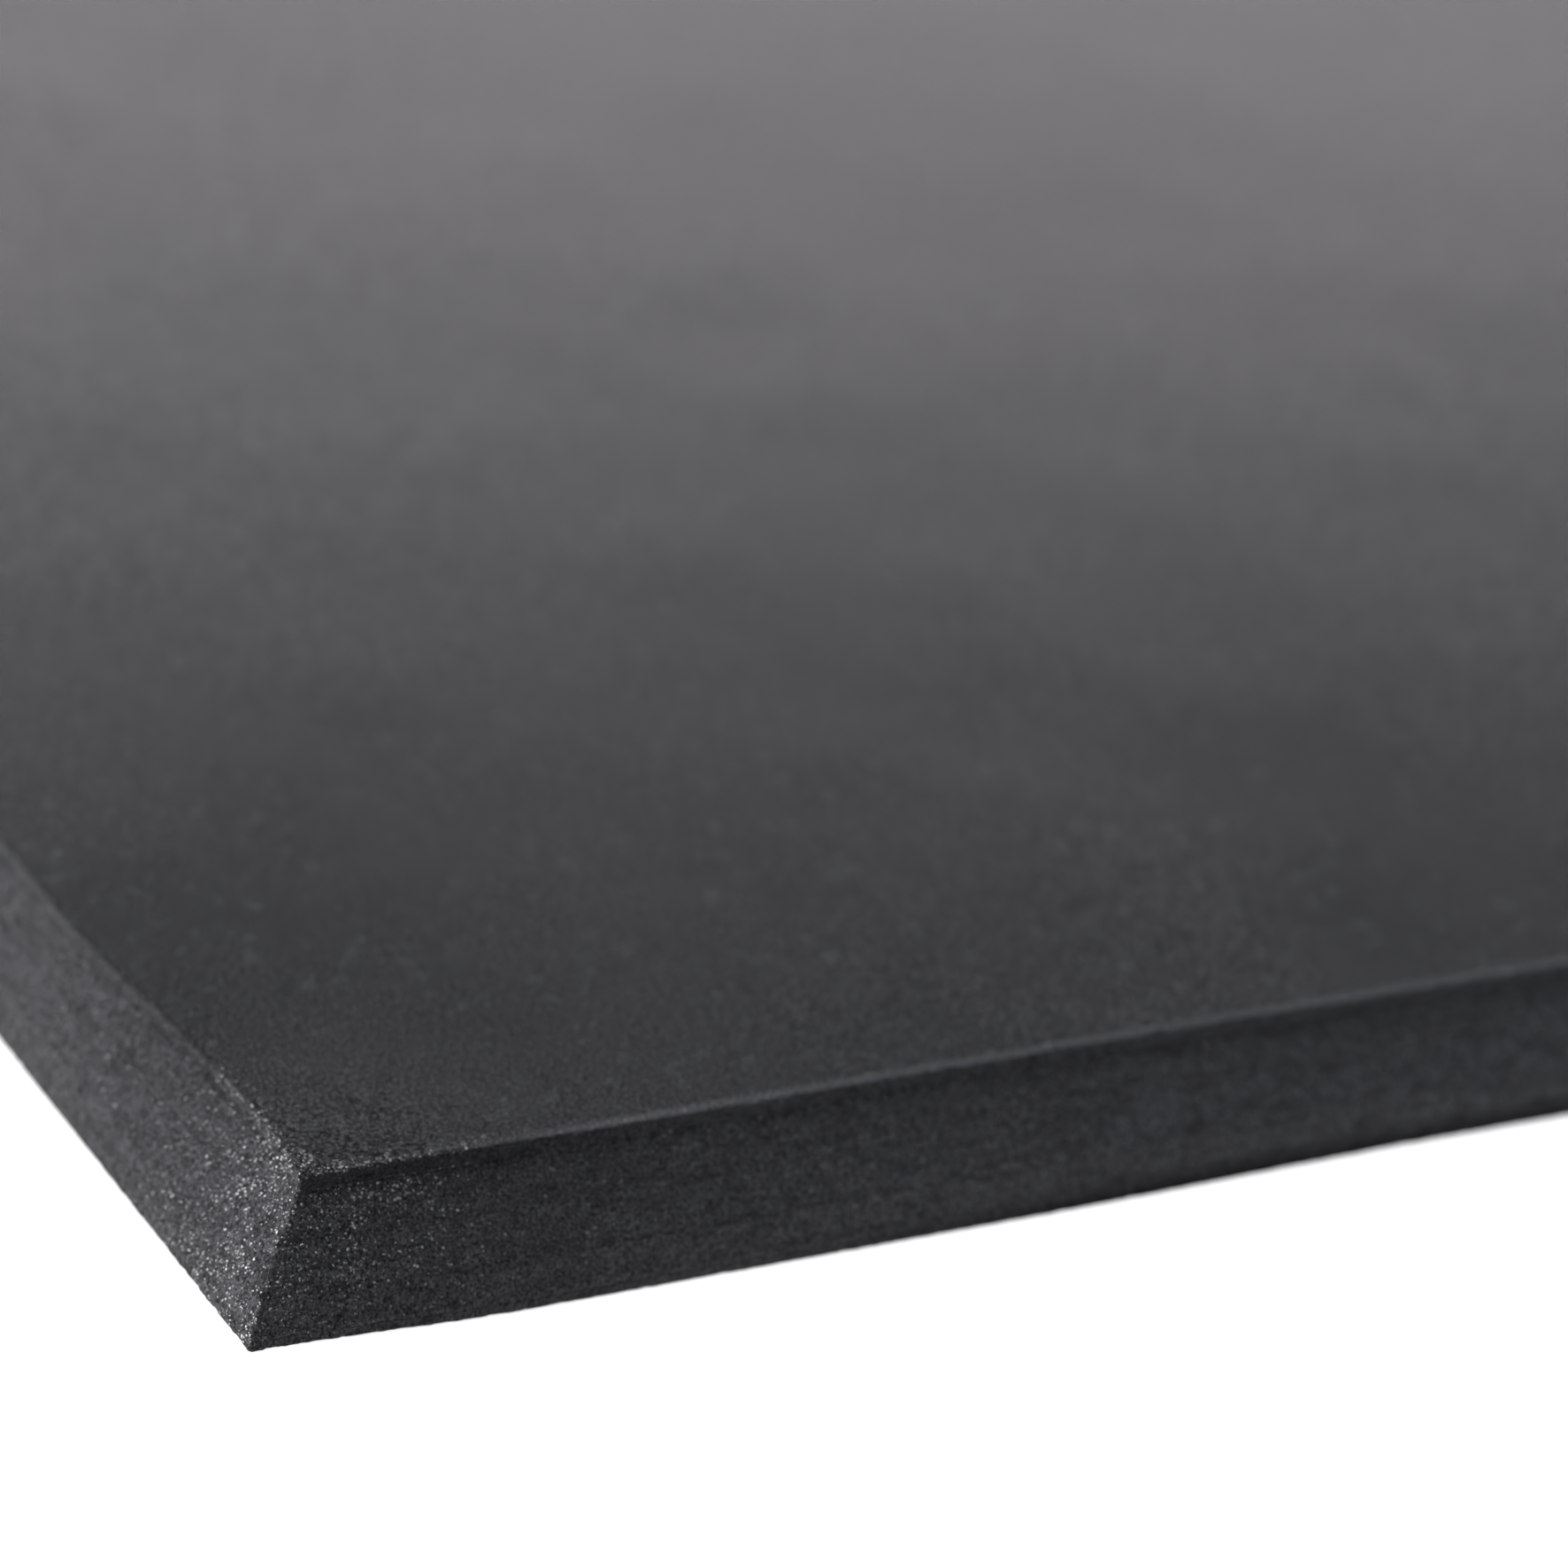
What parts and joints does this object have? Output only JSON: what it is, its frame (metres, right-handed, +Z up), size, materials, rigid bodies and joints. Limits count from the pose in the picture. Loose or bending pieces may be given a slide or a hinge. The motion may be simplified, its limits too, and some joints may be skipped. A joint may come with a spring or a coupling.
{
  "type": "balance pad",
  "caption": "Flat rectangular balance pad of laminated closed-cell foam with a smooth dense top skin, bevelled cut sides and a non-slip underside.",
  "frame": {"origin": "centre of the pad's underside", "axes": "+X along the pad's length, +Y along its width, +Z up out of the surface that is stood on"},
  "size_m": [0.5, 0.41, 0.02],
  "materials": {
    "smooth_skin": "charcoal closed-cell foam skin, smooth and satin, with a soft sheen at low angles",
    "cut_foam": "charcoal closed-cell foam, knife-cut, fine open grain with small bright flecks",
    "grip_sheet": "near-black non-slip elastomer sheet, matt, finely embossed underneath",
    "adhesive_film": "thin smoky hot-melt adhesive film, only its cut edge shows"
  },
  "bodies": {
    "base": {"base_grip": "grip_sheet", "base_bond": "adhesive_film", "lower_foam_ply": "cut_foam", "lower_core_bond": "adhesive_film", "middle_foam_ply": "cut_foam", "upper_core_bond": "adhesive_film", "upper_foam_ply": "cut_foam"},
    "standing_surface": {"skin_bond": "adhesive_film", "top_skin": "smooth_skin"}
  },
  "joints": [
    {"name": "foam_compression", "type": "slide", "parent": "base", "child": "standing_surface", "axis": [0, 0, -1], "range_m": [0, 0.008], "stiffness_N_per_m": 90000, "deforming": ["lower_foam_ply", "lower_core_bond", "middle_foam_ply", "upper_core_bond", "upper_foam_ply"]}
  ]
}
